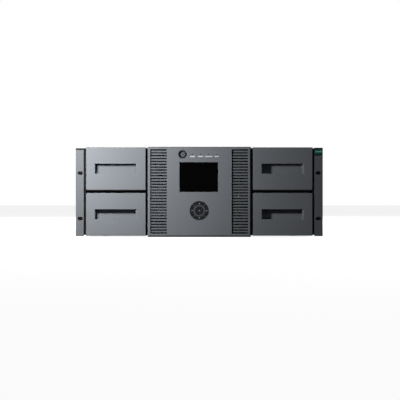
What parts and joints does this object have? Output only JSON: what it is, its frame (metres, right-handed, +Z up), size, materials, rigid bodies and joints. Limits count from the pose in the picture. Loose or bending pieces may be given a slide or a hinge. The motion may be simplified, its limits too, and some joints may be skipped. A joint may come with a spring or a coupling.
{
  "type": "data tape library",
  "caption": "Rack-mounted tape library with pull-out cartridge magazines, a central control panel with display, louvred vents, and a picking robot that serves rear tape drives.",
  "frame": {"origin": "centre of the footprint of the whole unit, on the surface the feet stand on", "axes": "+Y towards the rear panel, -Y out of the front face, +Z up, +X to the right seen from the front"},
  "size_m": [0.4826, 0.754, 0.1764],
  "materials": {
    "black_steel": "satin black powder coat",
    "graphite": "satin graphite paint",
    "vent_plastic": "satin graphite",
    "badge": "gloss near black",
    "zinc_steel": "zinc plated",
    "ground_steel": "ground",
    "dark_plastic": "fine texture",
    "tray_plastic": "fine texture",
    "cartridge_plastic": "fine texture",
    "window_glass": "gloss",
    "board": "solder mask",
    "key_plastic": "satin",
    "keypad_plastic": "satin",
    "lens": "clear tinted",
    "foot_rubber": "matte",
    "alloy": "satin",
    "motor_black": "satin",
    "drive_metal": "satin"
  },
  "bodies": {
    "chassis": {"base_pan": "black_steel", "side_panels": "black_steel", "top_cover": "black_steel", "rear_panel": "black_steel", "front_frame": "black_steel", "drive_cage": "zinc_steel", "magazine_shelves": "zinc_steel", "magazine_locks": "dark_plastic", "rack_ears": "black_steel", "ear_covers": "graphite", "badge_plate": "badge", "front_bezel": "graphite", "vent_grilles": "vent_plastic", "display_window": "window_glass", "display_module": "board", "keypad_surround": "keypad_plastic", "light_lenses": "lens", "rubber_feet": "foot_rubber", "guide_rod": "ground_steel", "rod_supports": "dark_plastic", "travel_motor": "motor_black", "controller_plate": "zinc_steel", "controller_board": "board", "data_sockets": "dark_plastic", "cover_screws": "zinc_steel", "tape_drives": "drive_metal", "drive_sockets": "dark_plastic", "drive_sleds": "zinc_steel", "power_supplies": "zinc_steel", "power_inlets": "dark_plastic", "blank_covers": "black_steel"},
    "lower_left_magazine": {"lower_left_front": "graphite", "lower_left_tray": "tray_plastic", "lower_left_cartridges": "cartridge_plastic"},
    "lower_right_magazine": {"lower_right_front": "graphite", "lower_right_tray": "tray_plastic", "lower_right_cartridges": "cartridge_plastic"},
    "upper_left_magazine": {"upper_left_front": "graphite", "upper_left_tray": "tray_plastic", "upper_left_cartridges": "cartridge_plastic"},
    "upper_right_magazine": {"upper_right_front": "graphite", "upper_right_tray": "tray_plastic", "upper_right_cartridges": "cartridge_plastic"},
    "power_button": {"power_button": "key_plastic"},
    "key_up": {"key_up": "key_plastic"},
    "key_down": {"key_down": "key_plastic"},
    "key_left": {"key_left": "key_plastic"},
    "key_right": {"key_right": "key_plastic"},
    "key_centre": {"key_centre": "key_plastic"},
    "robot": {"robot_base": "alloy", "lift_motor": "motor_black", "lift_frame": "alloy"},
    "travel_screw": {"travel_screw": "ground_steel"},
    "lift_screw": {"lift_screw": "ground_steel"},
    "lift": {"lift_platform": "alloy", "swing_motor": "motor_black"},
    "picker": {"picker": "alloy"},
    "gripper": {"gripper": "dark_plastic"},
    "lower_fan": {"lower_fan_rotor": "dark_plastic"},
    "upper_fan": {"upper_fan_rotor": "dark_plastic"}
  },
  "joints": [
    {"name": "lower_left_magazine_slide", "type": "slide", "parent": "chassis", "child": "lower_left_magazine", "axis": [0, -1, 0], "range_m": [0, 0.49]},
    {"name": "lower_right_magazine_slide", "type": "slide", "parent": "chassis", "child": "lower_right_magazine", "axis": [0, -1, 0], "range_m": [0, 0.49]},
    {"name": "upper_left_magazine_slide", "type": "slide", "parent": "chassis", "child": "upper_left_magazine", "axis": [0, -1, 0], "range_m": [0, 0.49]},
    {"name": "upper_right_magazine_slide", "type": "slide", "parent": "chassis", "child": "upper_right_magazine", "axis": [0, -1, 0], "range_m": [0, 0.49]},
    {"name": "power_button_press", "type": "slide", "parent": "chassis", "child": "power_button", "axis": [0, 1, 0], "range_m": [0, 0.0015], "stiffness_N_per_m": 800, "springref_m": -0.0005},
    {"name": "key_up_press", "type": "slide", "parent": "chassis", "child": "key_up", "axis": [0, 1, 0], "range_m": [0, 0.001], "stiffness_N_per_m": 800, "springref_m": -0.0005},
    {"name": "key_down_press", "type": "slide", "parent": "chassis", "child": "key_down", "axis": [0, 1, 0], "range_m": [0, 0.001], "stiffness_N_per_m": 800, "springref_m": -0.0005},
    {"name": "key_left_press", "type": "slide", "parent": "chassis", "child": "key_left", "axis": [0, 1, 0], "range_m": [0, 0.001], "stiffness_N_per_m": 800, "springref_m": -0.0005},
    {"name": "key_right_press", "type": "slide", "parent": "chassis", "child": "key_right", "axis": [0, 1, 0], "range_m": [0, 0.001], "stiffness_N_per_m": 800, "springref_m": -0.0005},
    {"name": "key_centre_press", "type": "slide", "parent": "chassis", "child": "key_centre", "axis": [0, 1, 0], "range_m": [0, 0.001], "stiffness_N_per_m": 800, "springref_m": -0.0005},
    {"name": "robot_travel", "type": "slide", "parent": "chassis", "child": "robot", "axis": [0, 1, 0], "range_m": [-0.1635, 0.1635]},
    {"name": "travel_screw_spin", "type": "hinge", "parent": "chassis", "child": "travel_screw", "pos_m": [-0.098, 0, 0.008], "axis": [0, 1, 0], "continuous": true},
    {"name": "robot_lift", "type": "slide", "parent": "robot", "child": "lift", "axis": [0, 0, 1], "range_m": [0, 0.1371]},
    {"name": "lift_screw_spin", "type": "hinge", "parent": "robot", "child": "lift_screw", "pos_m": [0.088, -0.1585, 0.01], "axis": [0, 0, 1], "continuous": true},
    {"name": "picker_swing", "type": "hinge", "parent": "lift", "child": "picker", "pos_m": [0, -0.0975, 0.01], "axis": [0, 0, 1], "range_deg": [-90, 90]},
    {"name": "gripper_reach", "type": "slide", "parent": "picker", "child": "gripper", "axis": [0, 1, 0], "range_m": [0, 0.0535]},
    {"name": "lower_fan_spin", "type": "hinge", "parent": "chassis", "child": "lower_fan", "pos_m": [0.189, 0.355, 0.028], "axis": [0, 1, 0], "continuous": true},
    {"name": "upper_fan_spin", "type": "hinge", "parent": "chassis", "child": "upper_fan", "pos_m": [0.189, 0.355, 0.076], "axis": [0, 1, 0], "continuous": true}
  ],
  "couplings": [
    {"joint": "travel_screw_spin", "follows": "robot_travel", "rad_per_m": 314.16},
    {"joint": "lift_screw_spin", "follows": "robot_lift", "rad_per_m": 628.32}
  ]
}
